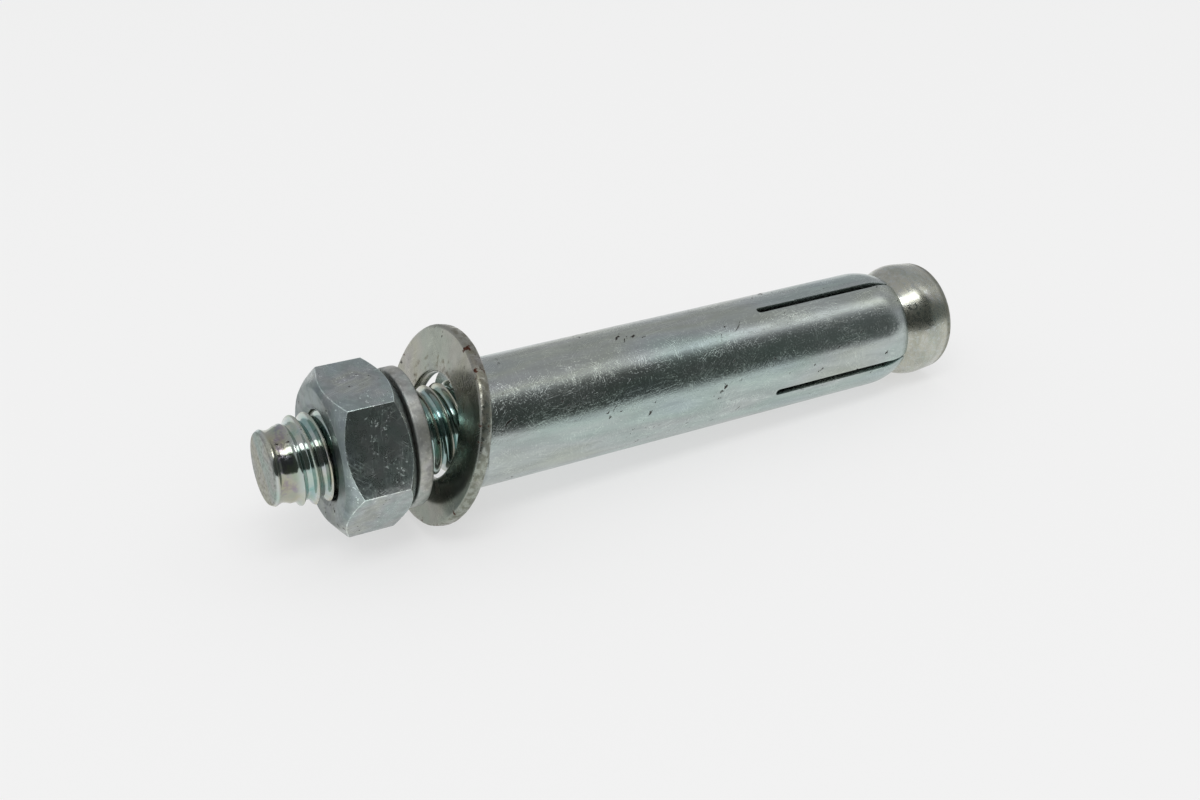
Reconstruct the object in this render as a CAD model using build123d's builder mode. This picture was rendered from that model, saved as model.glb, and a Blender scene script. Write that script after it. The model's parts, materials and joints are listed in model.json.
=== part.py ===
from build123d import *
from math import asin, atan2, cos, degrees, hypot, radians, sin, sqrt, tan
import os

os.makedirs("parts", exist_ok=True)

# A sleeve anchor bolt as it lies on a table, in millimetres.
# Every piece is drawn in the bolt's own frame: x runs along the stud from its free threaded tip
# towards the cone, and y is the height above the stud's centre line.

# Stud: bevelled tip, rolled thread, plain shank and forged cone, all one piece
thread_crest_radius = 4.85
thread_length = 45.0
thread_run_out = 1.2
thread_stand_proud = 0.4
tip_set_in = 0.75
tip_bevel = 0.45
tip_bevel_depth = 0.3
tip_neck_depth = 0.25
tip_neck_length = 2.2
tip_lead_in = 1.3
cone_set_in = 0.05
cone_head_length = 6.7
cone_half_angle = 27.0
cone_back_taper = 6.0
cone_shoulder_radius = 4.5
cone_edge_radius = 0.9

# Expansion sleeve: rolled tube whose slotted fingers are crimped in over the start of the cone
sleeve_play = 0.7
sleeve_wall = 1.45
sleeve_length = 57.7
sleeve_mouth_chamfer = 0.35
crimp_length = 3.5
crimp_depth = 0.85
finger_tip_wall = 0.3
slot_count = 4
slot_length = 20.0
slot_width = 0.85
slot_pinch = 0.25
slot_corner = 0.4
slot_turn = 13.0

# Flat washer: punched disc that leans against the sleeve's mouth
washer_radius = 10.9
washer_play = 0.9
washer_thickness = 1.45
washer_edge_chamfer = 0.35
washer_lean = 15.0

# Spring lock washer: one left-hand turn of square wire, open at its split
spring_play = 0.3
spring_wire_width = 2.5
spring_wire_thickness = 1.6
spring_pitch = 0.6
spring_wrap = 345.0
spring_split_turn = 215.0

# Hexagon nut, chamfered on both faces
nut_across_flats = 15.9
nut_height = 7.8
nut_chamfer_angle = 38.0
nut_face_set_in = 0.55
nut_countersink_width = 0.6
nut_countersink_angle = 30.0
nut_edge_radius = 0.2
nut_turn = -26.0
nut_stand_in = 6.15

# Clearances between the pieces
thread_clearance = 0.08
cone_clearance = 0.14
seat_gap = 0.05
lean_gap = 0.12
hang_clearance = 0.15
open_thread = 0.48

# Radii that follow the thread's crest
shank_radius = thread_crest_radius - thread_stand_proud
tip_rim_radius = thread_crest_radius - tip_set_in
tip_face_radius = tip_rim_radius - tip_bevel_depth
tip_neck_radius = tip_rim_radius - tip_neck_depth
nut_bore_radius = thread_crest_radius + thread_clearance
nut_countersink_radius = nut_bore_radius + nut_countersink_width
spring_radius = thread_crest_radius + spring_play + spring_wire_width / 2
washer_hole_radius = thread_crest_radius + washer_play
sleeve_bore = thread_crest_radius + sleeve_play
sleeve_radius = sleeve_bore + sleeve_wall
finger_tip_radius = sleeve_radius - crimp_depth
finger_tip_bore = finger_tip_radius - finger_tip_wall
cone_radius = sleeve_radius - cone_set_in

# Nut: half a corner to corner width, and how deep its chamfers reach
nut_corner_radius = nut_across_flats / sqrt(3)
nut_face_radius = nut_across_flats / 2 - nut_face_set_in
nut_chamfer = (nut_corner_radius - nut_face_radius) * tan(radians(nut_chamfer_angle))
nut_countersink = nut_countersink_width * tan(radians(nut_countersink_angle))
nut_back = nut_stand_in + nut_height

# Spring washer: its wire climbs along the axis from the nut's back
spring_climb = spring_pitch * spring_wrap / 360
spring_place = nut_back + seat_gap + spring_wire_thickness / 2
spring_end = spring_place + spring_climb + spring_wire_thickness / 2
spring_outer_radius = spring_radius + spring_wire_width / 2

# Flat washer: the stud lies in the bottom of its hole, and its foot just clears the spring washer
lean = radians(washer_lean)
washer_lift = washer_hole_radius * cos(lean) - thread_crest_radius - hang_clearance
washer_place = spring_end + open_thread + (spring_outer_radius + washer_lift) * tan(lean)

# Sleeve: it hangs on the stud, centred at its fingers and lower at its mouth, where the washer leans
sleeve_sag = sleeve_play - hang_clearance
sleeve_tilt = asin(sleeve_sag / sleeve_length)
mouth_height = sleeve_radius - sleeve_sag - washer_lift
sleeve_mouth = (
    washer_place + washer_thickness / cos(lean) + mouth_height * tan(lean) + lean_gap
)
sleeve_end = sleeve_mouth + sleeve_length * cos(sleeve_tilt)

# Cone: a straight flare up to a round shoulder, then a slight taper back to the end face
stud_length = sleeve_end + cone_head_length
flare = radians(cone_half_angle)
taper = radians(cone_back_taper)
shoulder_share = 1 + cos(flare + taper)
shoulder_radius = cone_radius - cone_shoulder_radius * (
    1 - (cos(flare) + cos(taper)) / shoulder_share
)
cone_radius_at_tips = finger_tip_bore - cone_clearance
cone_start = sleeve_end - (cone_radius_at_tips - shank_radius) / tan(flare)
shoulder_place = sleeve_end + (shoulder_radius - cone_radius_at_tips) / tan(flare)
cone_back_radius = shoulder_radius - (stud_length - shoulder_place) * tan(taper)

# The bolt rests on the washer's lowest edge and on the cone's round shoulder, whose centre is
# cone_foot. Both are at the table's height when the bolt is tilted by bolt_tilt.
washer_foot_x = (
    washer_place
    + (washer_thickness - washer_edge_chamfer) * cos(lean)
    - washer_radius * sin(lean)
)
washer_foot_y = (
    washer_lift
    - (washer_thickness - washer_edge_chamfer) * sin(lean)
    - washer_radius * cos(lean)
)
cone_foot_x = shoulder_place + cone_shoulder_radius * (sin(flare) - sin(taper)) / shoulder_share
cone_foot_y = cone_shoulder_radius - cone_radius
foot_span = cone_foot_x - washer_foot_x
foot_drop = washer_foot_y - cone_foot_y
bolt_tilt = asin(-cone_shoulder_radius / hypot(foot_span, foot_drop)) - atan2(
    foot_drop, foot_span
)
bolt_height = (
    cone_foot_x * sin(bolt_tilt) - cone_foot_y * cos(bolt_tilt) + cone_shoulder_radius
)
tip_reach = tip_face_radius * sin(bolt_tilt)
back_reach = (
    (stud_length - cone_edge_radius) * cos(bolt_tilt)
    + (cone_back_radius - cone_edge_radius) * sin(bolt_tilt)
    + cone_edge_radius
)
bolt = Plane(
    origin=((tip_reach - back_reach) / 2, 0, bolt_height),
    x_dir=(cos(bolt_tilt), 0, -sin(bolt_tilt)),
    z_dir=(0, -1, 0),
)
bolt_axis = Axis(bolt.origin, bolt.x_dir)


def beside(x, y, angle):
    """The plane of a piece whose centre is at x, y in the bolt's frame and whose axis is tipped up."""
    return Plane(
        origin=bolt.from_local_coords((x, y, 0)),
        x_dir=bolt.x_dir.rotate(Axis(bolt.origin, bolt.z_dir), degrees(angle)),
        z_dir=bolt.z_dir,
    )


with BuildPart() as stud:
    with BuildSketch(bolt):
        with BuildLine():
            Polyline((0, 0), (0, tip_face_radius), (tip_bevel, tip_rim_radius))
            ThreePointArc(
                (tip_bevel, tip_rim_radius),
                ((tip_bevel + tip_neck_length) / 2, tip_neck_radius),
                (tip_neck_length, tip_rim_radius),
            )
            Polyline(
                (tip_neck_length, tip_rim_radius),
                (tip_neck_length + tip_lead_in, thread_crest_radius),
                (thread_length, thread_crest_radius),
                (thread_length + thread_run_out, shank_radius),
                (cone_start, shank_radius),
                (shoulder_place, shoulder_radius),
                (stud_length, cone_back_radius),
                (stud_length, 0),
                (0, 0),
            )
        make_face()
        fillet(
            vertices().sort_by_distance((shoulder_place, shoulder_radius))[0],
            cone_shoulder_radius,
        )
        fillet(
            vertices().sort_by_distance((stud_length, cone_back_radius))[0],
            cone_edge_radius,
        )
    revolve(axis=bolt_axis)
stud.part.label = "stud"
export_step(stud.part, "parts/stud.step")

# The sleeve's own frame has its start at the finger tips, so the tube lies at negative x
tube = beside(sleeve_end, 0, sleeve_tilt)
tube_axis = Axis(tube.origin, tube.x_dir)
bore_end = -(finger_tip_bore - sleeve_bore) / tan(flare)

with BuildPart() as expansion_sleeve:
    with BuildSketch(tube):
        with BuildLine():
            Polyline(
                (0, finger_tip_radius),
                (0, finger_tip_bore),
                (bore_end, sleeve_bore),
                (-sleeve_length, sleeve_bore),
                (-sleeve_length, sleeve_radius - sleeve_mouth_chamfer),
                (-sleeve_length + sleeve_mouth_chamfer, sleeve_radius),
                (-crimp_length, sleeve_radius),
            )
            TangentArc(
                (-crimp_length, sleeve_radius),
                (0, finger_tip_radius),
                tangent=(1, 0),
            )
        make_face()
    revolve(axis=tube_axis)
    for slot in range(slot_count):
        with BuildSketch(tube.rotated((slot_turn + 360 * slot / slot_count, 0, 0))) as plan:
            # Plan of one slot, seen from outside: parallel, then pinched, then open at the corners
            with BuildLine():
                side = Polyline(
                    (-slot_length, 0),
                    (-slot_length, slot_width / 2),
                    (-crimp_length, slot_width / 2),
                    (-slot_corner, slot_pinch / 2),
                    (0, slot_pinch / 2 + slot_corner),
                    (slot_corner, slot_pinch / 2 + slot_corner),
                    (slot_corner, 0),
                )
                mirror(side, about=Plane.XZ)
            make_face()
            fillet(plan.vertices().group_by(Axis.X)[0], slot_width / 2.1)
        extrude(amount=sleeve_radius + slot_width, mode=Mode.SUBTRACT)
expansion_sleeve.part.label = "expansion_sleeve"
export_step(expansion_sleeve.part, "parts/expansion_sleeve.step")

disc = beside(washer_place, washer_lift, -lean)
disc_axis = Axis(disc.origin, disc.x_dir)

with BuildPart() as flat_washer:
    with BuildSketch(disc):
        with BuildLine():
            Polyline(
                (0, washer_hole_radius),
                (0, washer_radius),
                (washer_thickness, washer_radius),
                (washer_thickness, washer_hole_radius),
                close=True,
            )
        make_face()
        chamfer(vertices().group_by(Axis.Y)[-1], washer_edge_chamfer)
    revolve(axis=disc_axis)
flat_washer.part.label = "flat_washer"
export_step(flat_washer.part, "parts/flat_washer.step")

# The lock washer's wire climbs along the axis as it goes round
coil = Edge.make_helix(
    spring_pitch,
    spring_climb,
    spring_radius,
    center=bolt.from_local_coords((spring_place, 0, 0)),
    normal=bolt.x_dir,
    lefthand=True,
).rotate(bolt_axis, spring_split_turn)

with BuildPart() as spring_washer:
    with BuildLine():
        add(coil)
    with BuildSketch(
        Plane(
            origin=coil @ 0,
            x_dir=(coil @ 0) - bolt.from_local_coords((spring_place, 0, 0)),
            z_dir=coil % 0,
        )
    ):
        Rectangle(spring_wire_width, spring_wire_thickness)
    sweep(is_frenet=True)
spring_washer.part.label = "spring_washer"
export_step(spring_washer.part, "parts/spring_washer.step")

nut_face = Plane(
    origin=bolt.from_local_coords((nut_stand_in, 0, 0)),
    x_dir=bolt.y_dir.rotate(bolt_axis, nut_turn),
    z_dir=bolt.x_dir,
)

with BuildPart() as hex_nut:
    with BuildSketch(nut_face):
        RegularPolygon(radius=nut_corner_radius, side_count=6)
        fillet(vertices(), nut_edge_radius)
    extrude(amount=nut_height)
    # The chamfered outside, the bore and its two countersinks are one turned profile
    with BuildSketch(bolt):
        with BuildLine():
            half = Polyline(
                (nut_stand_in + nut_height / 2, nut_bore_radius),
                (nut_stand_in + nut_countersink, nut_bore_radius),
                (nut_stand_in, nut_countersink_radius),
                (nut_stand_in, nut_face_radius),
                (nut_stand_in + nut_chamfer, nut_corner_radius),
                (nut_stand_in + nut_height / 2, nut_corner_radius),
            )
            mirror(half, about=Plane.YZ.offset(nut_stand_in + nut_height / 2))
        make_face()
    revolve(axis=bolt_axis, mode=Mode.INTERSECT)
hex_nut.part.label = "hex_nut"
export_step(hex_nut.part, "parts/hex_nut.step")
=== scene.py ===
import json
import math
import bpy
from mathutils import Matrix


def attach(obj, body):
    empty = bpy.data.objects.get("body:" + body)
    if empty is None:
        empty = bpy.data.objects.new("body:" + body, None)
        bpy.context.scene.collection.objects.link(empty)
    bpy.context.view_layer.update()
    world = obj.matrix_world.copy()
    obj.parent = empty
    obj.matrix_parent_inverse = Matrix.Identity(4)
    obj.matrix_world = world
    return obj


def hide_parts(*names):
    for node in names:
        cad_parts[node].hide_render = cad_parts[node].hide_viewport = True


bl_info = {
    "name": "Anchor bolt",
    "version": (1, 0, 0),
    "blender": (4, 5, 0),
    "location": "3D View > Sidebar > Anchor bolt",
    "description": "Dresses the CAD model of a sleeve anchor bolt: thread, worn edges and zinc plate",
    "category": "Add Mesh",
}

import bmesh
import bpy
from mathutils import Matrix, Vector, noise

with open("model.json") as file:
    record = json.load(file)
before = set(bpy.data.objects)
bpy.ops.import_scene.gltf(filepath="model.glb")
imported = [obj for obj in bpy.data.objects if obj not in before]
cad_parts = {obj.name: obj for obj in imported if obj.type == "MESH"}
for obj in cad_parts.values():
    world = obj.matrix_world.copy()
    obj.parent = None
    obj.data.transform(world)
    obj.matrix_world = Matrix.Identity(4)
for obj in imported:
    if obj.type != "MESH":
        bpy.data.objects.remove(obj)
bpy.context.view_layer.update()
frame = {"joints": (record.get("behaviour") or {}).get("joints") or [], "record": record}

MM = 0.001
MOUNTS = {m["name"]: m for m in frame["record"]["mounts"]}
JOINTS = {j["name"]: j for j in frame["joints"]}


def lying_along(origin, axis):
    """The frame of a piece whose x runs along axis, whose y is up and whose z is towards the viewer."""
    x = Vector(axis).normalized()
    z = Vector((0, -1, 0))
    columns = Matrix((x, z.cross(x), z)).transposed().to_4x4()
    return Matrix.Translation(Vector(origin)) @ columns


BOLT = lying_along(MOUNTS["tip_end_face"]["pos_m"], JOINTS["nut_travel"]["axis"])
TUBE = lying_along(JOINTS["sleeve_turn"]["pos_m"], JOINTS["sleeve_turn"]["axis"])
DISC = lying_along(JOINTS["washer_tip"]["pos_m"], MOUNTS["washer_clamping_face"]["axis"])


def length(name, description, millimetres):
    return bpy.props.FloatProperty(
        name=name, description=description, default=millimetres * MM, unit="LENGTH", precision=5
    )


def angle(name, description, degrees):
    return bpy.props.FloatProperty(
        name=name, description=description, default=math.radians(degrees), subtype="ANGLE"
    )


def number(name, description, value):
    return bpy.props.FloatProperty(name=name, description=description, default=value)


def count(name, description, value):
    return bpy.props.IntProperty(name=name, description=description, default=value, min=3)


def colour(name, description, value):
    return bpy.props.FloatVectorProperty(
        name=name, description=description, default=value, size=3, min=0, max=1, subtype="COLOR"
    )


class ThreadSizes(bpy.types.PropertyGroup):
    pitch: length("Pitch", "Axial distance between two crests", 1.5)
    crest: length("Crest radius", "Radius over the thread's crests", 4.85)
    root: length("Root radius", "Radius at the bottom of the groove", 4.15)
    start: length("Start", "Where the thread begins behind the tip's neck", 2.0)
    lead_in: length("Lead-in", "Length over which the first turn grows to full height", 1.7)
    end: length("End", "Where the thread has run out into the shank", 46.2)
    run_out: length("Run-out", "Length over which the last turn fades", 1.2)
    phase: number("Phase", "Share of a pitch that the thread is turned by", 0.147)
    sharpness: number("Sharpness", "How narrow the crests are against the grooves", 4.5)
    steps: count("Steps", "Segments in one turn", 96)
    form_steps: count("Form steps", "Segments from one groove to the next", 18)


class StudSizes(bpy.types.PropertyGroup):
    tip_face: length("Tip face radius", "Radius of the flat end face", 3.8)
    tip_rim: length("Tip rim radius", "Radius behind the end bevel", 4.1)
    tip_bevel: length("Tip bevel", "Length of the end bevel", 0.45)
    tip_edge: length("Tip edge", "Rounding between the end face and its bevel", 0.12)
    rim_edge: length("Rim edge", "Rounding behind the end bevel", 0.1)
    neck: length("Neck radius", "Radius in the middle of the rolled neck", 3.85)
    shank: length("Shank radius", "Radius of the plain shank", 4.45)
    cone_start: length("Cone start", "Where the flare begins", 77.2787)
    cone_fillet: length("Cone fillet", "Rounding between the shank and the flare", 0.8)
    shoulder_at: length("Shoulder", "Where the flare and the back taper meet", 82.4103)
    shoulder: length("Shoulder radius", "Radius where the flare and the back taper meet", 7.0647)
    shoulder_round: length("Shoulder rounding", "Length of flare taken up by the round shoulder", 1.333)
    end: length("Length", "Overall length of the stud", 86.4516)
    back: length("Back radius", "Radius of the cone at its end face", 6.6399)
    back_round: length("Back rounding", "Rounding of the cone's back edge", 0.85)


class NutSizes(bpy.types.PropertyGroup):
    across_flats: length("Across flats", "Spanner size", 15.9)
    height: length("Height", "Thickness of the nut", 7.8)
    place: length("Place", "Front face's distance from the stud's tip", 6.15)
    turn: angle("Turn", "How far the nut is turned about the stud", -26)
    face: length("Face radius", "Radius of the flat annulus on each face", 7.4)
    chamfer: angle("Chamfer", "Slope of the corner chamfers", 38)
    bore: length("Bore radius", "Radius at the bottom of the nut's thread", 4.93)
    minor: length("Minor radius", "Radius over the crests of the nut's thread", 4.38)
    sharpness: number("Sharpness", "How narrow the crests are against the grooves", 4)
    form_steps: count("Form steps", "Segments from one groove to the next", 14)
    countersink: length("Countersink", "Width of the countersink", 0.6)
    sink_slope: angle("Countersink slope", "Slope of the countersink", 30)
    sink_edge: length("Countersink edge", "Rounding round the countersink", 0.1)
    face_edge: length("Face edge", "Rounding round the flat annulus", 0.12)
    wear: length("Worn edge", "Rounding of the worn edges", 0.2)


class SpringSizes(bpy.types.PropertyGroup):
    radius: length("Wire radius", "Radius of the wire's centre line", 6.4)
    width: length("Wire width", "Radial width of the wire", 2.5)
    thickness: length("Wire thickness", "Axial thickness of the wire", 1.6)
    place: length("Place", "Where the wire starts along the stud", 14.8)
    climb: length("Climb", "How far the wire climbs over its wrap", 0.575)
    wrap: angle("Wrap", "Angle that the wire covers", 345)
    split: angle("Split", "Where the split is, about the stud", 215)
    edge: length("Edge", "Rounding of the wire's edges", 0.3)
    steps: count("Steps", "Segments along the wire", 140)


class WasherSizes(bpy.types.PropertyGroup):
    radius: length("Radius", "Outside radius", 10.9)
    hole: length("Hole radius", "Radius of the punched hole", 5.75)
    thickness: length("Thickness", "Thickness of the sheet", 1.45)
    roll: length("Rolled edge", "Rounding of the rim on the side that the punch entered", 0.52)
    burr: length("Sheared edge", "Rounding of the rim on the other side", 0.47)
    ripple: length("Ripple", "Unevenness of the punched rim", 0.05)
    ripple_depth: length("Ripple depth", "How far in from the rim the unevenness reaches", 0.8)
    ripple_grain: number("Ripple grain", "Bumps of the punched rim in a metre", 900)
    steps: count("Steps", "Segments round the washer", 160)


class SleeveSizes(bpy.types.PropertyGroup):
    radius: length("Radius", "Outside radius of the tube", 7.0)
    bore: length("Bore radius", "Inside radius of the tube", 5.55)
    length: length("Length", "Length from the mouth to the finger tips", 57.7)
    mouth_edge: length("Mouth edge", "Chamfer at the mouth", 0.35)
    crimp: length("Crimp length", "Length over which the fingers are crimped in", 3.5)
    crimp_depth: length("Crimp depth", "How far the finger tips are crimped in", 0.85)
    tip_wall: length("Tip wall", "Thickness of the wall at the finger tips", 0.3)
    bore_flare: length("Bore flare", "Length over which the bore opens towards the finger tips", 0.5888)
    slot_length: length("Slot length", "Length of the slots", 20.0)
    slot_width: length("Slot width", "Width of the slots", 0.85)
    slot_pinch: length("Slot pinch", "Width of the slots where the fingers are crimped", 0.25)
    slot_corner: length("Slot corner", "Rounding of the fingers' corners", 0.4)
    slot_turn: angle("Slot turn", "Where the first slot is, about the tube", 13)
    burr: length("Burr", "Rounding of the sheared edges", 0.05)
    steps: count("Steps", "Segments round a quarter of the tube", 40)


class PlateColours(bpy.types.PropertyGroup):
    stud: colour("Stud", "Bright zinc plate of the stud", (0.55, 0.58, 0.56))
    sleeve: colour("Sleeve", "Satin zinc plate of the sleeve", (0.465, 0.51, 0.502))
    flat_washer: colour("Flat washer", "Warm zinc plate of the flat washer", (0.37, 0.375, 0.335))
    spring_washer: colour("Spring washer", "Matt zinc plate of the lock washer", (0.50, 0.51, 0.49))
    nut: colour("Nut", "Zinc plate of the forged nut", (0.41, 0.445, 0.445))
    grime: colour("Grime", "Dark scale in nicks and scratches", (0.05, 0.045, 0.04))
    rust: colour("Rust", "Dark red rust on the washer's rim", (0.11, 0.045, 0.03))
    background: colour("Background", "Pale floor and backdrop", (0.896, 0.896, 0.896))


class AnchorBolt(bpy.types.PropertyGroup):
    thread: bpy.props.PointerProperty(type=ThreadSizes)
    stud: bpy.props.PointerProperty(type=StudSizes)
    nut: bpy.props.PointerProperty(type=NutSizes)
    spring: bpy.props.PointerProperty(type=SpringSizes)
    washer: bpy.props.PointerProperty(type=WasherSizes)
    sleeve: bpy.props.PointerProperty(type=SleeveSizes)
    colours: bpy.props.PointerProperty(type=PlateColours)


def rounded(corners, steps=4):
    """A profile of (x, r) points from (x, r, rounding) corners, whose first and last stay sharp."""
    points = []
    for i, (x, r, rounding) in enumerate(corners):
        here = Vector((x, r))
        if not rounding or i in (0, len(corners) - 1):
            points.append(here)
            continue
        before = (Vector(corners[i - 1][:2]) - here).normalized() * rounding
        after = (Vector(corners[i + 1][:2]) - here).normalized() * rounding
        for k in range(steps + 1):
            t = k / steps
            points.append(here + before * (1 - t) ** 2 + after * t**2)
    return points


def draw(bm, points, closed=False):
    """Draws a profile of (x, r) points in the x-y plane."""
    verts = [bm.verts.new((x, r, 0)) for x, r in points]
    pairs = list(zip(verts, verts[1:])) + ([(verts[-1], verts[0])] if closed else [])
    return verts + [bm.edges.new(pair) for pair in pairs]


def turn(bm, points, steps, closed=False):
    """Turns a profile into a full body about the x axis."""
    bmesh.ops.spin(
        bm,
        geom=draw(bm, points, closed),
        cent=(0, 0, 0),
        axis=(1, 0, 0),
        angle=math.tau,
        steps=steps,
        use_merge=True,
    )


def roll_thread(bm, form, pitch, start, end, steps):
    """Rolls a thread form, one pitch long, from start to end and squares its ends to full rings."""
    strip = bmesh.new()
    bmesh.ops.spin(
        strip,
        geom=draw(strip, form),
        cent=(0, 0, 0),
        axis=(1, 0, 0),
        dvec=(pitch / steps, 0, 0),
        angle=math.tau,
        steps=steps,
    )
    first = math.floor(start / pitch) - 2
    one_turn = strip.verts[:] + strip.edges[:] + strip.faces[:]
    for k in range(first, math.ceil(end / pitch) + 1):
        copy = bmesh.ops.duplicate(strip, geom=one_turn)["geom"]
        moved = [v for v in copy if isinstance(v, bmesh.types.BMVert)]
        bmesh.ops.translate(strip, verts=moved, vec=(k * pitch, 0, 0))
    bmesh.ops.delete(strip, geom=[g for g in one_turn if isinstance(g, bmesh.types.BMVert)])
    outside = [f for f in strip.faces if not start < f.calc_center_median().x < end]
    far = [f for f in outside if all(not start < v.co.x < end for v in f.verts)]
    bmesh.ops.delete(strip, geom=far, context="FACES")
    for v in strip.verts:
        v.co.x = min(max(v.co.x, start), end)
    bmesh.ops.remove_doubles(strip, verts=strip.verts, dist=1e-7)
    mesh = bpy.data.meshes.new("thread strip")
    strip.to_mesh(mesh)
    strip.free()
    bm.from_mesh(mesh)
    bpy.data.meshes.remove(mesh)


def soften(bm, edges, offset, segments):
    """Rounds edges and gives the new faces."""
    return bmesh.ops.bevel(
        bm,
        geom=edges,
        offset=offset,
        segments=segments,
        affect="EDGES",
        profile=0.5,
        material=-1,
        clamp_overlap=True,
    )["faces"]


def polar(co):
    """The radius about the x axis and the angle from y towards z."""
    return math.hypot(co.y, co.z), math.atan2(co.z, co.y)


def set_polar(vert, radius, around):
    vert.co.y, vert.co.z = radius * math.cos(around), radius * math.sin(around)


def ease(t):
    """Goes smoothly from 0 at t = 0 to 1 at t = 1."""
    t = min(max(t, 0), 1)
    return t * t * (3 - 2 * t)


def place_piece(name, bm, matrix, material, cad_node, sharp=35):
    """Closes the seams, puts the piece in place and lets it ride on its CAD node's body."""
    bmesh.ops.remove_doubles(bm, verts=bm.verts, dist=1e-6)
    bmesh.ops.dissolve_degenerate(bm, edges=bm.edges, dist=1e-7)
    bmesh.ops.transform(bm, matrix=matrix, verts=bm.verts)
    bmesh.ops.recalc_face_normals(bm, faces=bm.faces)
    for face in bm.faces:
        face.smooth = True
    for edge in bm.edges:
        edge.smooth = edge.calc_face_angle(0) < math.radians(sharp)
    mesh = bpy.data.meshes.new(name)
    bm.to_mesh(mesh)
    bm.free()
    obj = bpy.data.objects.new(name, mesh)
    bpy.context.scene.collection.objects.link(obj)
    mesh.materials.append(material)
    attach(obj, cad_node)
    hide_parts(cad_node)


def node(tree, kind, inputs=None, **settings):
    """Adds a shader node, sets it, and links or fills its inputs."""
    made = tree.nodes.new("ShaderNode" + kind)
    for key, value in settings.items():
        setattr(made, key, value)
    for key, value in (inputs or {}).items():
        if isinstance(value, bpy.types.NodeSocket):
            tree.links.new(value, made.inputs[key])
        else:
            made.inputs[key].default_value = value
    return made


def mix(tree, amount, a, b, blend="MIX"):
    made = node(tree, "Mix", data_type="RGBA", blend_type=blend)
    for socket, value in zip((made.inputs[0], made.inputs[6], made.inputs[7]), (amount, a, b)):
        if isinstance(value, bpy.types.NodeSocket):
            tree.links.new(value, socket)
        else:
            socket.default_value = value
    return made.outputs[2]


def math_node(tree, operation, *values):
    return node(tree, "Math", dict(enumerate(values)), operation=operation).outputs[0]


def window(tree, value, low, high):
    """Goes smoothly from 0 at low to 1 at high."""
    return node(
        tree, "MapRange", {"Value": value, "From Min": low, "From Max": high}, interpolation_type="SMOOTHSTEP"
    ).outputs["Result"]


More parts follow.
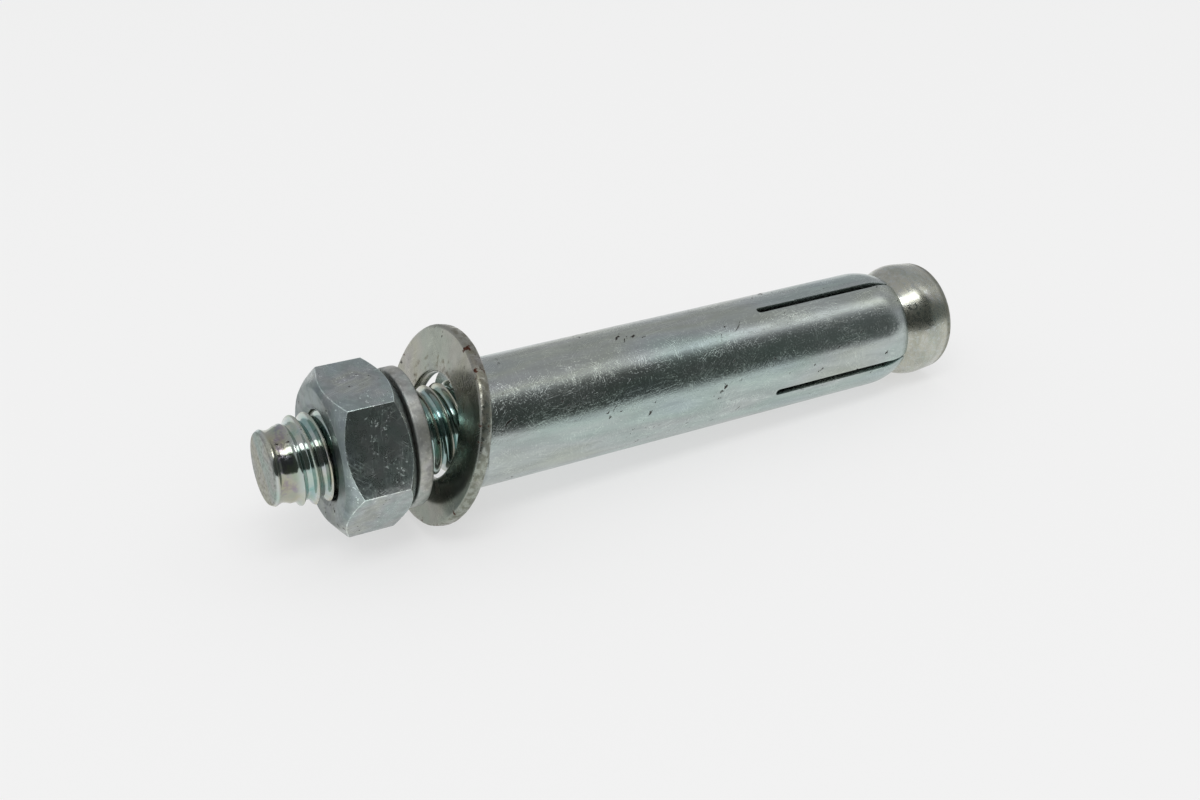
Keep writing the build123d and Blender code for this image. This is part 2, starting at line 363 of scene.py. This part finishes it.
class Finish:
    """A plated finish: its colour, roughness and relief, drawn in the piece's own frame."""

    UNROLLED_RADIUS = 6.5 * MM
    RELIEF_DEPTH = 0.02 * MM
    ROUGHEST = 0.9

    def __init__(self, name, matrix, base, roughness):
        self.material = bpy.data.materials.new(name)
        self.material.use_nodes = True
        self.tree = tree = self.material.node_tree
        place, turned, _ = matrix.decompose()
        own_frame = {
            "Vector": node(tree, "TexCoord").outputs["Object"],
            "Location": place,
            "Rotation": turned.to_euler(),
        }
        self.own = node(tree, "Mapping", own_frame, vector_type="TEXTURE").outputs[0]
        split = node(tree, "SeparateXYZ", {0: self.own})
        self.x, y, z = split.outputs
        squares = math_node(tree, "ADD", math_node(tree, "MULTIPLY", y, y), math_node(tree, "MULTIPLY", z, z))
        self.radius = math_node(tree, "SQRT", squares)
        around = math_node(tree, "ARCTAN2", z, y)
        arc = math_node(tree, "MULTIPLY", around, self.UNROLLED_RADIUS)
        self.unrolled = node(tree, "CombineXYZ", {"X": self.x, "Y": arc, "Z": self.radius}).outputs[0]
        self.flat = node(tree, "CombineXYZ", {"X": y, "Y": z, "Z": self.x}).outputs[0]
        self.colour = mix(tree, 1.0, (*base, 1), (1, 1, 1, 1), "MULTIPLY")
        self.shade = math_node(tree, "ADD", roughness, 0.0)
        self.relief = math_node(tree, "ADD", 0.0, 0.0)

    def grain(self, scale, stretch=(1, 1, 1), turned=0, detail=3.0, rough=0.6, coords=None):
        """Noise with scale features in a metre, turned and then stretched on the surface."""
        placed = node(
            self.tree, "Mapping", {"Vector": coords or self.own, "Rotation": (0, 0, math.radians(turned))}
        ).outputs[0]
        placed = node(self.tree, "Mapping", {"Vector": placed, "Scale": stretch}).outputs[0]
        return node(
            self.tree, "TexNoise", {"Vector": placed, "Scale": scale, "Detail": detail, "Roughness": rough}
        ).outputs["Fac"]

    def patches(self, scale, low, high, **settings):
        """1 where the grain is above high, and 0 below low."""
        return window(self.tree, self.grain(scale, **settings), low, high)

    def all_of(self, *masks):
        """Where every mask is."""
        made = masks[0]
        for mask in masks[1:]:
            made = math_node(self.tree, "MULTIPLY", made, mask)
        return made

    def none_of(self, mask):
        """Where the mask isn't."""
        return math_node(self.tree, "SUBTRACT", 1.0, mask)

    def along(self, low, high):
        """Past a place along the piece's axis, in millimetres."""
        return window(self.tree, self.x, low * MM, high * MM)

    def out(self, low, high):
        """Outside a radius about the piece's axis, in millimetres."""
        return window(self.tree, self.radius, low * MM, high * MM)

    def stain(self, mask, colour, roughness=0.0, relief=0.0, blend="MIX"):
        """Covers the plate with a colour where mask is 1, and adds roughness and relief there."""
        self.colour = mix(self.tree, mask, self.colour, (*colour, 1), blend)
        if roughness:
            self.shade = math_node(self.tree, "MULTIPLY_ADD", mask, roughness, self.shade)
        if relief:
            self.relief = math_node(self.tree, "MULTIPLY_ADD", mask, relief, self.relief)

    def tone(self, mask, colour, roughness=0.0, relief=0.0):
        """Darkens or brightens the plate by a colour where mask is 1."""
        self.stain(mask, colour, roughness, relief, "MULTIPLY")

    def tints(self, strength, scale, stretch):
        """Blue-green, straw and lilac passivation tints."""
        made = node(self.tree, "ValToRGB", {"Fac": self.grain(scale, stretch, detail=2.5)})
        stops = made.color_ramp.elements
        stops[0].position, stops[0].color = 0.3, (0.70, 0.88, 1.0, 1)
        stops[1].position, stops[1].color = 0.72, (0.95, 0.84, 1.0, 1)
        between = ((0.42, (0.78, 1.0, 0.90, 1)), (0.5, (1, 1, 1, 1)), (0.6, (1.0, 0.97, 0.74, 1)))
        for position, value in between:
            stops.new(position).color = value
        tinted = mix(self.tree, 1.0, self.colour, made.outputs["Color"], "MULTIPLY")
        self.colour = mix(self.tree, strength, self.colour, tinted)

    def clouds(self, depth, scale, stretch, roughness):
        """Dull and bright mottling of the plate."""
        mask = self.patches(scale, 0.38, 0.66, stretch=stretch, detail=6, rough=0.65)
        self.tone(mask, (1 - depth,) * 3, roughness)

    def scratches(self, strength, angles, coords, scale=11000, amount=0.6):
        """Fine short scratches at several angles, in patches."""
        stretch = (0.06, 1, 0.4)
        for k, angle in enumerate(angles):
            finer = scale * (1 + 0.13 * k)
            line = self.patches(finer, 0.57, 0.67, stretch=stretch, turned=angle, detail=1, coords=coords)
            where = self.patches(210 + 60 * k, 0.62 - amount * 0.3, 0.72 - amount * 0.3, detail=2)
            self.tone(self.all_of(line, where), (1.22, 1.22, 1.2), 0.04, -0.5 * strength)

    def nicks(self, grime, amount, coords=None):
        """Small dark nicks and marks, few of them."""
        spot = self.patches(1500, 0.64, 0.68, stretch=(0.5, 1, 1), turned=35, rough=0.65, coords=coords)
        where = self.patches(190, 0.66 - amount * 0.2, 0.72 - amount * 0.2, detail=2)
        self.stain(self.all_of(spot, where), grime, 0.25, -1.2)

    def specks_and_glints(self, strength, scale):
        """Fine raised specks, whose brightened colour is a painted glint."""
        self.tone(self.patches(scale, 0.60, 0.68, detail=2), (1.25, 1.25, 1.22), 0.0, 0.8 * strength)

    def done(self, strength=0.5, satin=0.3):
        """Links the finish to its shader, with strength for its relief and satin for its finest grain."""
        tree, shader = self.tree, self.tree.nodes["Principled BSDF"]
        fine = self.grain(9000, detail=1.5)
        relief = math_node(tree, "MULTIPLY_ADD", fine, satin, self.relief)
        bump = node(tree, "Bump", {"Height": relief, "Distance": self.RELIEF_DEPTH, "Strength": strength})
        shader.inputs["Metallic"].default_value = 1.0
        tree.links.new(self.colour, shader.inputs["Base Color"])
        tree.links.new(math_node(tree, "MINIMUM", self.shade, self.ROUGHEST), shader.inputs["Roughness"])
        tree.links.new(bump.outputs[0], shader.inputs["Normal"])
        return self.material


class ANCHOR_OT_stud(bpy.types.Operator):
    """Rolls the thread on the stud and turns its tip and its cone"""

    bl_idname = "anchor.stud"
    bl_label = "Stud"

    def execute(self, context):
        bolt = context.scene.anchor_bolt
        t, s = bolt.thread, bolt.stud
        bm = bmesh.new()
        depth, steps = t.crest - t.root, t.form_steps
        form = [
            (t.pitch * (k / steps + t.phase), t.root + depth * math.sin(math.pi * k / steps) ** t.sharpness)
            for k in range(steps + 1)
        ]
        roll_thread(bm, form, t.pitch, t.start, t.end, t.steps)
        for v in bm.verts:
            r, around = polar(v.co)
            grown = ease((v.co.x - t.start) / t.lead_in)
            faded = ease((t.end - v.co.x) / t.run_out)
            r = s.tip_rim + (r - s.tip_rim) * grown
            r = s.shank + (r - s.shank) * faded
            set_polar(v, r, around)
        steps = 8
        neck_length, waist = t.start - s.tip_bevel, s.tip_rim - s.neck
        neck = [
            (s.tip_bevel + neck_length * k / steps, s.tip_rim - waist * math.sin(math.pi * k / steps))
            for k in range(1, steps + 1)
        ]
        tip = [
            (0, 0.2 * MM, 0),
            (0, s.tip_face, s.tip_edge),
            (s.tip_bevel, s.tip_rim, s.rim_edge),
            (*neck[0], 0),
        ]
        turn(bm, [(0, 0)] + rounded(tip) + neck[1:], t.steps)
        cone = [
            (t.end, s.shank, 0),
            (s.cone_start, s.shank, s.cone_fillet),
            (s.shoulder_at, s.shoulder, s.shoulder_round),
            (s.end, s.back, s.back_round),
            (s.end, 0.3 * MM, 0),
        ]
        turn(bm, rounded(cone, 8) + [(s.end, 0)], t.steps)
        c = bolt.colours
        plate = Finish("bright zinc plate", BOLT, c.stud, 0.13)
        on_cone = plate.along(76, 78)
        plate.tints(math_node(plate.tree, "MULTIPLY_ADD", on_cone, -0.45, 0.6), 330, (1, 0.5, 0.5))
        groove = plate.none_of(plate.out(4.2, 4.75))
        thread = plate.all_of(plate.along(2.2, 3.2), plate.none_of(on_cone))
        plate.tone(plate.all_of(groove, thread, plate.patches(420, 0.35, 0.6)), (0.62, 0.82, 0.84))
        rubbed_crest = plate.all_of(plate.out(4.55, 4.8), plate.patches(2600, 0.3, 0.55))
        plate.tone(rubbed_crest, (0.92, 0.88, 0.80), 0.14, -0.3)
        end_face = plate.none_of(plate.along(0.02, 0.3))
        plate.tone(end_face, (0.72, 0.71, 0.70), 0.34)
        pits = plate.all_of(end_face, plate.patches(2300, 0.42, 0.66, detail=6, rough=0.7))
        plate.tone(pits, (0.62, 0.60, 0.58), 0.1, -0.5)
        on_neck = plate.all_of(plate.none_of(plate.along(2.0, 3.0)), plate.along(0.3, 0.6))
        plate.tone(on_neck, (0.74, 0.71, 0.62))
        plate.tone(plate.all_of(on_neck, plate.patches(520, 0.48, 0.6)), (0.80, 0.72, 0.98))
        mottled = plate.all_of(on_cone, plate.patches(650, 0.42, 0.62, stretch=(1.2, 0.6, 0.6), detail=5))
        plate.tone(mottled, (0.84, 0.85, 0.84), 0.02)
        plate.tone(plate.along(85.2, 85.7), (0.62, 0.62, 0.60), 0.25, -0.4)
        plate.scratches(0.4, (20, -70), plate.unrolled, amount=0.3)
        plate.nicks(c.grime, 0.5)
        material = plate.done(0.45, satin=0.1)
        place_piece("threaded_stud", bm, BOLT, material, "stud")
        return {"FINISHED"}


class ANCHOR_OT_nut(bpy.types.Operator):
    """Turns the nut's blank, cuts its six flats and cuts its thread"""

    bl_idname = "anchor.nut"
    bl_label = "Hexagon nut"

    def execute(self, context):
        bolt = context.scene.anchor_bolt
        t, n = bolt.thread, bolt.nut
        bm = bmesh.new()
        corner = n.across_flats / math.sqrt(3)
        chamfer = (corner - n.face) * math.tan(n.chamfer)
        sink = n.countersink * math.tan(n.sink_slope)
        past = 0.15
        half = [
            (sink, n.bore, 0),
            (0, n.bore + n.countersink, n.sink_edge),
            (0, n.face, n.face_edge),
            (chamfer * (1 + past), corner + (corner - n.face) * past, 0),
        ]
        front = [(n.place + p[0], p[1]) for p in rounded(half)]
        back = [(n.place + n.height - p[0], p[1]) for p in reversed(rounded(half))]
        turn(bm, front + back, t.steps)
        depth, steps = n.bore - n.minor, n.form_steps
        start, end = n.place + sink, n.place + n.height - sink
        form = [
            (
                t.pitch * (k / steps + t.phase),
                n.bore - depth * abs(math.cos(math.pi * k / steps)) ** n.sharpness,
            )
            for k in range(steps + 1)
        ]
        roll_thread(bm, form, t.pitch, start, end, t.steps)
        for v in bm.verts:
            r, around = polar(v.co)
            if r < n.bore:
                cut_in = ease((v.co.x - start) / t.pitch) * ease((end - v.co.x) / t.pitch)
                set_polar(v, n.bore + (r - n.bore) * cut_in, around)
        for side in range(6):
            outwards = n.turn + math.radians(30 + 60 * side)
            normal = Vector((0, math.cos(outwards), math.sin(outwards)))
            cut = bmesh.ops.bisect_plane(
                bm,
                geom=bm.verts[:] + bm.edges[:] + bm.faces[:],
                plane_co=normal * n.across_flats / 2,
                plane_no=normal,
                clear_outer=True,
            )["geom_cut"]
            bmesh.ops.contextual_create(bm, geom=[e for e in cut if isinstance(e, bmesh.types.BMEdge)])
        bmesh.ops.remove_doubles(bm, verts=bm.verts, dist=1e-6)
        bmesh.ops.recalc_face_normals(bm, faces=bm.faces)
        outside = n.face + 0.1 * MM
        worn = [
            e
            for e in bm.edges
            if e.calc_face_angle(0) > math.radians(18) and min(polar(v.co)[0] for v in e.verts) > outside
        ]
        rubbed = soften(bm, worn, n.wear, 3)
        wear = bm.loops.layers.float.new("wear")
        for face in rubbed:
            for loop in face.loops:
                loop[wear] = 1.0
        c = bolt.colours
        plate = Finish("plate over forged faces", BOLT, c.nut, 0.26)
        plate.tints(0.35, 200, (1, 1, 1))
        plate.clouds(0.22, 700, (1, 1, 1), 0.08)
        plate.scratches(1.0, (15, -35, 80), plate.unrolled, scale=6500, amount=0.6)
        # Bright flecks: small raised nicks whose near-white colour is partly a painted glint.
        flecks_and_glints = plate.all_of(plate.patches(2800, 0.63, 0.66, detail=2), plate.patches(330, 0.47, 0.6))
        plate.tone(flecks_and_glints, (2.1, 2.1, 2.06), 0.1, 0.8)
        plate.nicks(c.grime, 0.9)
        plate.tone(plate.none_of(plate.along(6.2, 6.9)), (0.60, 0.62, 0.62), 0.08)
        # Rounded worn edges: rubbed, brighter plate, made brighter still as a painted highlight along the
        # edges.
        worn_edge_and_highlight = node(plate.tree, "Attribute", attribute_name="wear").outputs["Fac"]
        plate.tone(plate.all_of(worn_edge_and_highlight, plate.patches(900, 0.36, 0.56, detail=4)), (1.9, 1.9, 1.86), -0.06)
        material = plate.done()
        place_piece("threaded_nut", bm, BOLT, material, "hex_nut", sharp=30)
        return {"FINISHED"}


class ANCHOR_OT_spring_washer(bpy.types.Operator):
    """Coils the square wire of the spring lock washer"""

    bl_idname = "anchor.spring_washer"
    bl_label = "Spring washer"

    def execute(self, context):
        bolt = context.scene.anchor_bolt
        s = bolt.spring
        bm = bmesh.new()
        w, h = s.width / 2, s.thickness / 2
        corners = [(-h, -w), (h, -w), (h, w), (-h, w)]
        loop = [(x, r, s.edge) for x, r in corners]
        points = rounded([loop[-1]] + loop + [loop[0]])[1:-1]
        ring = draw(bm, [(s.place + x, s.radius + r) for x, r in points], closed=True)
        wire = bmesh.ops.contextual_create(bm, geom=[g for g in ring if isinstance(g, bmesh.types.BMEdge)])
        bmesh.ops.rotate(bm, verts=bm.verts, cent=(0, 0, 0), matrix=Matrix.Rotation(s.split, 3, "X"))
        bmesh.ops.spin(
            bm,
            geom=ring + wire["faces"],
            cent=(0, 0, 0),
            axis=(-1, 0, 0),
            dvec=(s.climb / s.steps, 0, 0),
            angle=s.wrap,
            steps=s.steps,
        )
        c = bolt.colours
        plate = Finish("matt zinc plate", BOLT, c.spring_washer, 0.46)
        plate.tints(0.25, 220, (1, 1, 1))
        plate.clouds(0.3, 1100, (1, 1, 1), 0.1)
        # Fine raised specks with a painted glint.
        plate.specks_and_glints(1.2, 2600)
        plate.nicks(c.grime, 0.5)
        material = plate.done(0.6, satin=0.6)
        place_piece("coiled_spring_washer", bm, BOLT, material, "spring_washer")
        return {"FINISHED"}


class ANCHOR_OT_flat_washer(bpy.types.Operator):
    """Punches the flat washer, with one rolled and one sheared edge"""

    bl_idname = "anchor.flat_washer"
    bl_label = "Flat washer"

    def execute(self, context):
        bolt = context.scene.anchor_bolt
        w = bolt.washer
        bm = bmesh.new()
        h = w.thickness / 2
        loop = [
            (-h, w.hole, w.burr),
            (-h, w.radius, w.burr),
            (h, w.radius, w.roll),
            (h, w.hole, w.roll),
        ]
        points = rounded([loop[-1]] + loop + [loop[0]])[1:-1]
        turn(bm, points, w.steps, closed=True)
        for v in bm.verts:
            r, around = polar(v.co)
            if r > w.radius - w.ripple_depth:
                set_polar(v, r - w.ripple * abs(noise.noise(v.co * w.ripple_grain)), around)
        c = bolt.colours
        plate = Finish("punched zinc plate", DISC, c.flat_washer, 0.2)
        plate.tints(0.3, 150, (1, 1, 1))
        plate.clouds(0.14, 420, (1, 1, 1), 0.08)
        plate.scratches(0.5, (10, 70, -50), plate.flat, scale=6500, amount=0.35)
        round_hole = plate.all_of(plate.out(5.9, 6.3), plate.none_of(plate.out(7.4, 8.2)))
        rubbed = plate.patches(900, 0.5, 0.62, stretch=(0.12, 1, 1), detail=4, coords=plate.unrolled)
        plate.tone(plate.all_of(round_hole, rubbed), (0.72, 0.68, 0.62), 0.12, -0.4)
        rim = plate.all_of(plate.out(10.55, 10.85), plate.patches(1500, 0.4, 0.6, detail=4))
        plate.tone(rim, (0.7, 0.68, 0.64), 0.25, -0.8)
        rusty = plate.all_of(plate.out(9.9, 10.5), plate.patches(700, 0.60, 0.64, detail=5, rough=0.7))
        plate.stain(rusty, c.rust, 0.4, -1.0)
        plate.nicks(c.grime, 0.6)
        material = plate.done(0.45)
        place_piece("punched_flat_washer", bm, DISC, material, "flat_washer")
        return {"FINISHED"}


class ANCHOR_OT_sleeve(bpy.types.Operator):
    """Rolls the tube, parts it at its four slots and crimps its fingers"""

    bl_idname = "anchor.sleeve"
    bl_label = "Expansion sleeve"

    def execute(self, context):
        bolt = context.scene.anchor_bolt
        s = bolt.sleeve
        bm = bmesh.new()
        half_width = s.slot_width / 2
        tip_radius = s.radius - s.crimp_depth

        def outside(x):
            if x < -s.length + s.mouth_edge:
                return s.radius - (-s.length + s.mouth_edge - x)
            bend = max(x + s.crimp, 0) / s.crimp
            return s.radius - s.crimp_depth * bend**2

        def inside(x):
            return s.bore + max(x + s.bore_flare, 0) / s.bore_flare * (tip_radius - s.tip_wall - s.bore)

        def gap(x):
            """Half the slot's width at x."""
            if x <= -s.slot_length:
                return 0
            if x < -s.slot_length + half_width:
                return math.sqrt(half_width**2 - (-s.slot_length + half_width - x) ** 2)
            if x < -s.crimp:
                return half_width
            if x < -s.slot_corner:
                closing = (x + s.crimp) / (s.crimp - s.slot_corner)
                return half_width + closing * (s.slot_pinch - s.slot_width) / 2
            opening = (x + s.slot_corner) / s.slot_corner
            return s.slot_pinch / 2 + s.slot_corner * (1 - math.sqrt(1 - opening**2))

        mouth, quarter_turn = -s.length, math.pi / 2
        # the mouth's chamfer, the plain tube, the slots' round ends, the slots, the crimp and the finger tips
        rows = [mouth, mouth + s.mouth_edge / 2, mouth + s.mouth_edge]
        rows += [mouth + s.mouth_edge + (0.4 + 2.3 * k) * MM for k in range(16)]
        rows += [-s.slot_length + half_width * (1 - math.cos(quarter_turn * k / 5)) for k in range(6)]
        rows += [-s.slot_length + half_width + 2.0 * k * MM for k in range(1, 9)]
        rows += [-s.crimp + 0.25 * k * MM for k in range(-1, 11)]
        rows += [-s.slot_corner * (1 - math.sin(quarter_turn * k / 5)) for k in range(6)]
        rows = sorted(set(round(x, 7) for x in rows))
        bmesh.ops.spin(
            bm,
            geom=draw(bm, [(x, outside(x)) for x in rows]),
            cent=(0, 0, 0),
            axis=(1, 0, 0),
            angle=quarter_turn,
            steps=s.steps,
        )
        one = bm.verts[:] + bm.edges[:] + bm.faces[:]
        for v in bm.verts:
            r, around = polar(v.co)
            part = gap(v.co.x) / r
            set_polar(v, r, part + around * (1 - 2 * part / quarter_turn))
        for k in range(1, 4):
            copy = bmesh.ops.duplicate(bm, geom=one)["geom"]
            moved = [v for v in copy if isinstance(v, bmesh.types.BMVert)]
            bmesh.ops.rotate(bm, verts=moved, cent=(0, 0, 0), matrix=Matrix.Rotation(quarter_turn * k, 3, "X"))
        bmesh.ops.rotate(bm, verts=bm.verts, cent=(0, 0, 0), matrix=Matrix.Rotation(s.slot_turn, 3, "X"))
        bmesh.ops.remove_doubles(bm, verts=bm.verts, dist=1e-6)
        bmesh.ops.recalc_face_normals(bm, faces=bm.faces)
        skin = set(bm.verts)
        bmesh.ops.solidify(bm, geom=bm.faces[:], thickness=s.radius - s.bore)
        bm.normal_update()
        for v in bm.verts:
            if v not in skin:
                v.co.x = min(max(v.co.x, -s.length), 0)
                r, around = polar(v.co)
                set_polar(v, inside(v.co.x), around)
        soften(bm, [e for e in bm.edges if e.calc_face_angle(0) > math.radians(50)], s.burr, 2)
        c = bolt.colours
        plate = Finish("satin zinc plate", TUBE, c.sleeve, 0.2)
        plate.tints(0.4, 110, (0.3, 1, 1))
        plate.clouds(0.14, 900, (0.15, 1, 1), 0.07)
        plate.scratches(0.7, (8, -12, 38, -52, 85), plate.unrolled, scale=8500, amount=0.38)
        # Fine raised specks with a painted glint.
        plate.specks_and_glints(0.7, 4600)
        plate.nicks(c.grime, 0.75, coords=plate.unrolled)
        material = plate.done(0.55)
        place_piece("slotted_sleeve", bm, TUBE, material, "expansion_sleeve")
        return {"FINISHED"}


class ANCHOR_OT_stage(bpy.types.Operator):
    """Sets the floor, the lamps, the surroundings and the camera"""

    bl_idname = "anchor.stage"
    bl_label = "Stage"

    def execute(self, context):
        scene = context.scene
        background = (*scene.anchor_bolt.colours.background, 1)

        floor_material = bpy.data.materials.new("pale floor")
        floor_material.use_nodes = True
        tree = floor_material.node_tree
        tree.nodes.remove(tree.nodes["Principled BSDF"])
        matt = node(tree, "BsdfDiffuse", {"Color": (0.92, 0.92, 0.92, 1)})
        glow = node(tree, "Emission", {"Color": background, "Strength": 1.0})
        glow_share = math_node(tree, "MULTIPLY", self.seen(tree), 0.62)
        both = node(tree, "MixShader", {0: glow_share, 1: matt.outputs[0], 2: glow.outputs[0]})
        tree.links.new(both.outputs[0], tree.nodes["Material Output"].inputs["Surface"])
        bm = bmesh.new()
        bmesh.ops.create_circle(bm, cap_ends=True, segments=64, radius=2.5)
        mesh = bpy.data.meshes.new("floor")
        bm.to_mesh(mesh)
        bm.free()
        floor = bpy.data.objects.new("floor", mesh)
        mesh.materials.append(floor_material)
        scene.collection.objects.link(floor)

        world = bpy.data.worlds.new("studio")
        scene.world = world
        world.use_nodes = True
        tree = world.node_tree
        direction = node(tree, "SeparateXYZ", {0: node(tree, "TexCoord").outputs["Generated"]})
        to_the_side = window(tree, direction.outputs["X"], 0.52, 0.66)
        dark_front = mix(tree, to_the_side, (0.05, 0.055, 0.05, 1), (0.15, 0.165, 0.16, 1))
        behind = window(tree, direction.outputs["Y"], -0.42, -0.30)
        room = mix(tree, behind, dark_front, (0.48, 0.48, 0.50, 1))
        path = node(tree, "LightPath").outputs
        paint = mix(tree, path["Is Glossy Ray"], (0.68, 0.68, 0.68, 1), room)
        paint = mix(tree, path["Is Camera Ray"], paint, background)
        tree.links.new(paint, tree.nodes["Background"].inputs["Color"])
        tree.nodes["Background"].inputs["Strength"].default_value = 1.0

        self.lamp(scene, "strip over the nut", -0.25, -0.38, (1.1, 0.3), 3.72)
        self.lamp(scene, "softbox over the cone", 0.95, -0.2, (0.7, 0.3), 0.58)

        camera = bpy.data.objects.new("camera", bpy.data.cameras.new("camera"))
        scene.collection.objects.link(camera)
        scene.camera = camera
        camera.data.lens = 45.6
        camera.data.sensor_width = 36.0
        camera.data.clip_start, camera.data.clip_end = 0.01, 10
        right, up, backward = (0.8706, -0.492, 0), (0.2518, 0.4455, 0.8591), (-0.4227, -0.74796, 0.51175)
        camera.matrix_world = (
            Matrix.Translation(Vector((-77.11, -130.25, 96.82)) * MM)
            @ Matrix((right, up, backward)).transposed().to_4x4()
        )
        scene.view_settings.view_transform = "Standard"
        return {"FINISHED"}

    @staticmethod
    def seen(tree):
        """1 for what the camera sees, directly or in metal."""
        path = node(tree, "LightPath").outputs
        either = math_node(tree, "MAXIMUM", path["Is Camera Ray"], path["Is Glossy Ray"])
        return math_node(tree, "MAXIMUM", either, path["Is Transmission Ray"])

    @staticmethod
    def lamp(scene, name, x, y, size, power):
        """Hangs a lamp a metre up, along the bolt, and tilts it towards the floor under the bolt."""
        light = bpy.data.lights.new(name, "AREA")
        light.shape = "RECTANGLE"
        light.size, light.size_y = size
        light.energy = power
        obj = bpy.data.objects.new(name, light)
        obj.location = place = Vector((x, y, 1.0))
        obj.rotation_euler = (Vector((x, 0, 0)) - place).to_track_quat("-Z", "Y").to_euler()
        scene.collection.objects.link(obj)


STEPS = (
    ANCHOR_OT_stage,
    ANCHOR_OT_stud,
    ANCHOR_OT_sleeve,
    ANCHOR_OT_flat_washer,
    ANCHOR_OT_spring_washer,
    ANCHOR_OT_nut,
)


class ANCHOR_PT_panel(bpy.types.Panel):
    bl_idname = "ANCHOR_PT_panel"
    bl_label = "Anchor bolt"
    bl_space_type = "VIEW_3D"
    bl_region_type = "UI"
    bl_category = "Anchor bolt"

    def draw(self, context):
        for step in STEPS:
            self.layout.operator(step.bl_idname)
        bolt = context.scene.anchor_bolt
        for group in (bolt.thread, bolt.stud, bolt.nut, bolt.spring, bolt.washer, bolt.sleeve, bolt.colours):
            box = self.layout.box()
            for name in group.__annotations__:
                box.prop(group, name)


CLASSES = (
    ThreadSizes, StudSizes, NutSizes, SpringSizes, WasherSizes, SleeveSizes, PlateColours, AnchorBolt,
    *STEPS, ANCHOR_PT_panel,
)


def register():
    for cls in CLASSES:
        bpy.utils.register_class(cls)
    bpy.types.Scene.anchor_bolt = bpy.props.PointerProperty(type=AnchorBolt)


def unregister():
    del bpy.types.Scene.anchor_bolt
    for cls in reversed(CLASSES):
        bpy.utils.unregister_class(cls)


def main():
    register()
    bpy.ops.anchor.stage()
    bpy.ops.anchor.stud()
    bpy.ops.anchor.sleeve()
    bpy.ops.anchor.flat_washer()
    bpy.ops.anchor.spring_washer()
    bpy.ops.anchor.nut()


if __name__ == "__main__":
    main()
